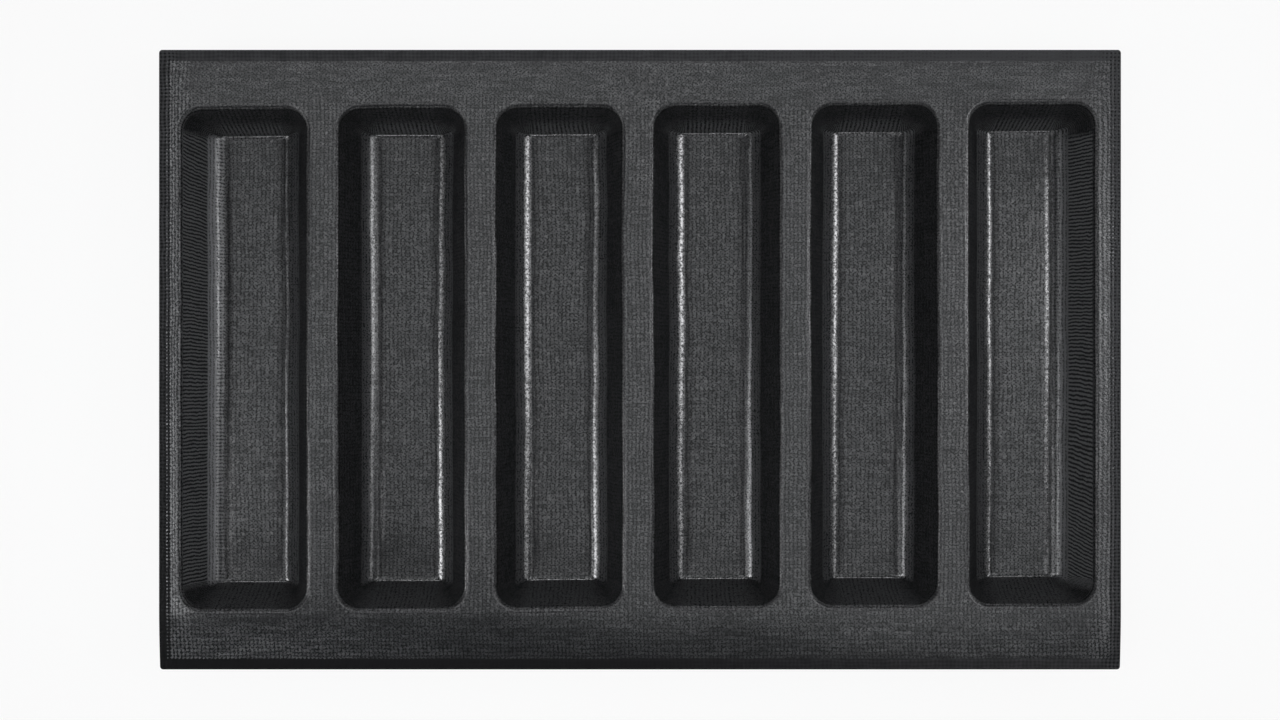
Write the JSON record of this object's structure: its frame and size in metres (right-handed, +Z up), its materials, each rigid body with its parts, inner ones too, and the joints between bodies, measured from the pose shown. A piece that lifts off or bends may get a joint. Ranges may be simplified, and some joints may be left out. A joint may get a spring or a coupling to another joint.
{
  "type": "bread mould",
  "caption": "Flexible sheet mould of silicone-coated glass cloth with a row of long loaf troughs and a bound silicone edge, for shaping and baking small baguettes or rolls.",
  "frame": {"origin": "on the surface that the mould stands on, under the middle of the sheet", "axes": "+Z up, out of the trough mouths; the troughs run along Y and are set out in a row along X; -Y is the front"},
  "size_m": [0.3722, 0.24, 0.0287],
  "materials": {
    "coated_cloth": "black silicone over woven glass cloth, satin, with a fine square weave",
    "plain_silicone": "plain black silicone, smooth and matt"
  },
  "bodies": {
    "root": {"deck": "coated_cloth", "loaf_trough_1": "coated_cloth", "loaf_trough_2": "coated_cloth", "loaf_trough_3": "coated_cloth", "loaf_trough_4": "coated_cloth", "loaf_trough_5": "coated_cloth", "loaf_trough_6": "coated_cloth", "edge_binding_front": "plain_silicone", "edge_binding_right": "plain_silicone", "edge_binding_back": "plain_silicone", "edge_binding_left": "plain_silicone"}
  },
  "joints": []
}
